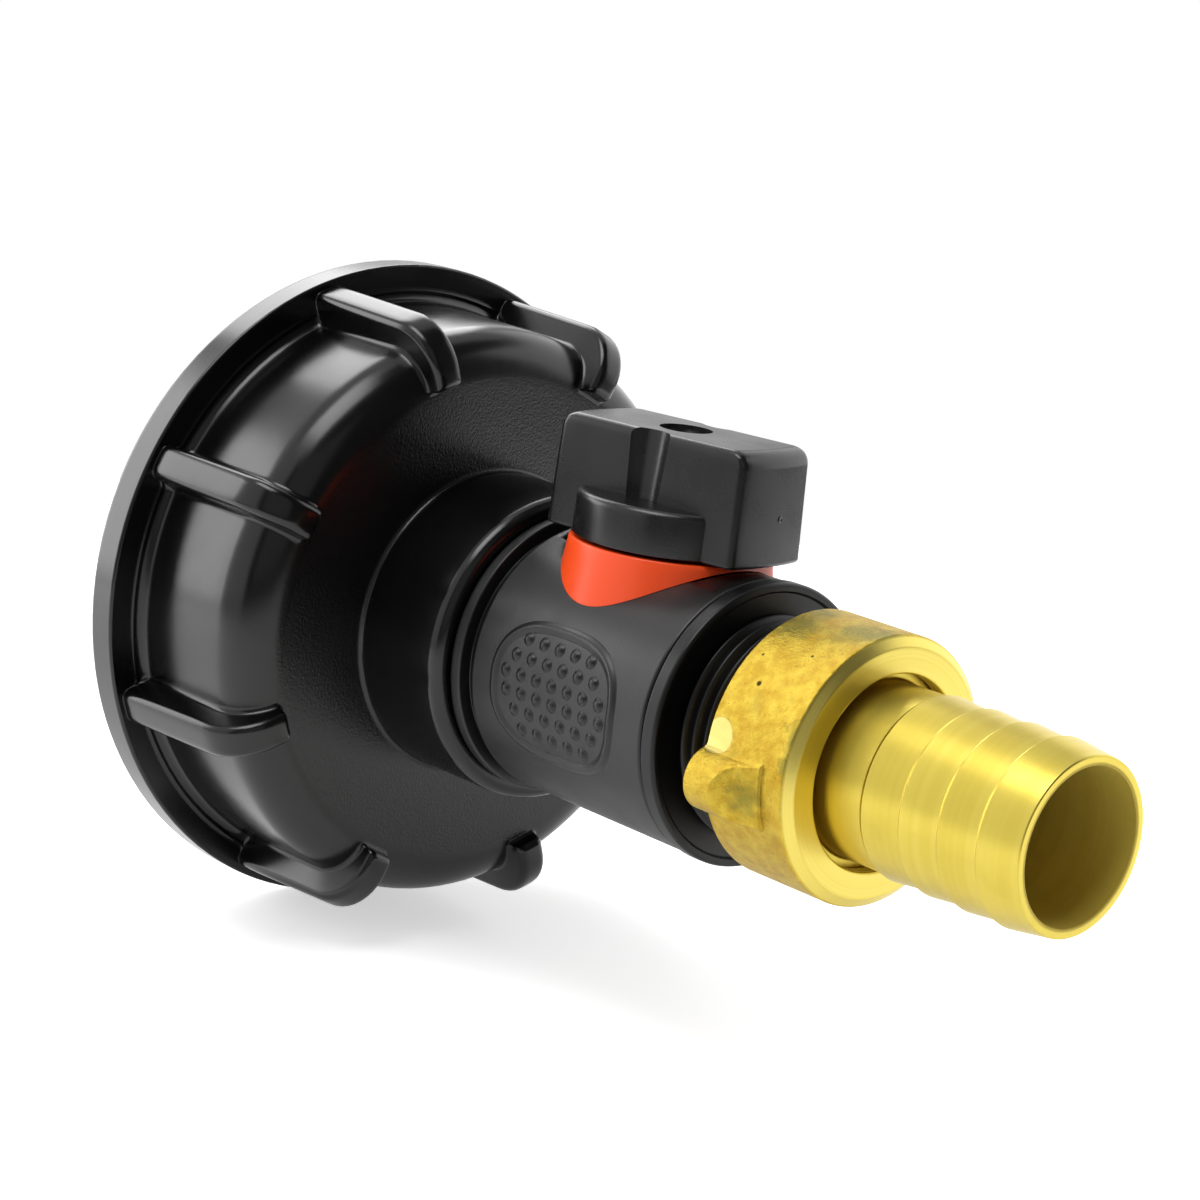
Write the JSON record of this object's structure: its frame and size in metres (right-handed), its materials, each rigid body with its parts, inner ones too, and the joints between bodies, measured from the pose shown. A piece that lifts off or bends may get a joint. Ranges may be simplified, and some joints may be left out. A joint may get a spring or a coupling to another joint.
{
  "type": "tank outlet valve",
  "caption": "Ribbed screw cap for a bulk tank outlet, with a small quarter-turn ball valve, T handle, union nut and barbed brass hose tail.",
  "frame": {"origin": "centre of the cap's open rim, where the tank spout enters", "axes": "+X along the pipe towards the hose end, +Z along the stem towards the handle, +Y completes a right-handed set"},
  "size_m": [0.1229, 0.0838, 0.0838],
  "materials": {
    "black_plastic": "moulded black polypropylene, satin gloss",
    "orange_plastic": "moulded orange polypropylene, satin gloss",
    "seal_rubber": "moulded black rubber",
    "seat_plastic": "machined white seat plastic",
    "steel": "turned and polished stainless steel",
    "brass_cast": "sand-textured casting with turned faces",
    "brass_turned": "fine turned"
  },
  "bodies": {
    "valve": {"cap": "black_plastic", "tank_gasket": "seal_rubber", "inlet_seal": "seal_rubber", "valve_body": "black_plastic", "stem_collar": "orange_plastic", "seat_inlet": "seat_plastic", "seat_outlet": "seat_plastic", "seat_ring_inlet": "seal_rubber", "seat_ring_outlet": "seal_rubber", "outlet_piece": "black_plastic", "body_ring": "seal_rubber"},
    "handle": {"ball": "steel", "stem": "steel", "stem_ring_lower": "seal_rubber", "stem_ring_upper": "seal_rubber", "thrust_washer": "seat_plastic", "handle": "black_plastic", "handle_screw": "steel", "spring_washer": "steel"},
    "hose_gasket": {"hose_gasket": "seal_rubber"},
    "nut": {"nut": "brass_cast"},
    "hose_tail": {"hose_tail": "brass_turned"}
  },
  "joints": [
    {"name": "handle_turn", "type": "hinge", "parent": "valve", "child": "handle", "pos_m": [0.057, 0, 0], "axis": [0, 0, 1], "range_deg": [-9.5, 80.5]},
    {"name": "hose_gasket_slide", "type": "slide", "parent": "valve", "child": "hose_gasket", "axis": [1, 0, 0], "range_m": [0, 0.0078]},
    {"name": "nut_turn", "type": "hinge", "parent": "hose_gasket", "child": "nut", "pos_m": [0.089, 0, 0], "axis": [1, 0, 0], "range_deg": [0, 1530]},
    {"name": "hose_tail_turn", "type": "hinge", "parent": "hose_gasket", "child": "hose_tail", "pos_m": [0.1, 0, 0], "axis": [1, 0, 0], "continuous": true}
  ],
  "couplings": [
    {"joint": "hose_gasket_slide", "follows": "nut_turn", "m_per_rad": 0.00028871}
  ]
}
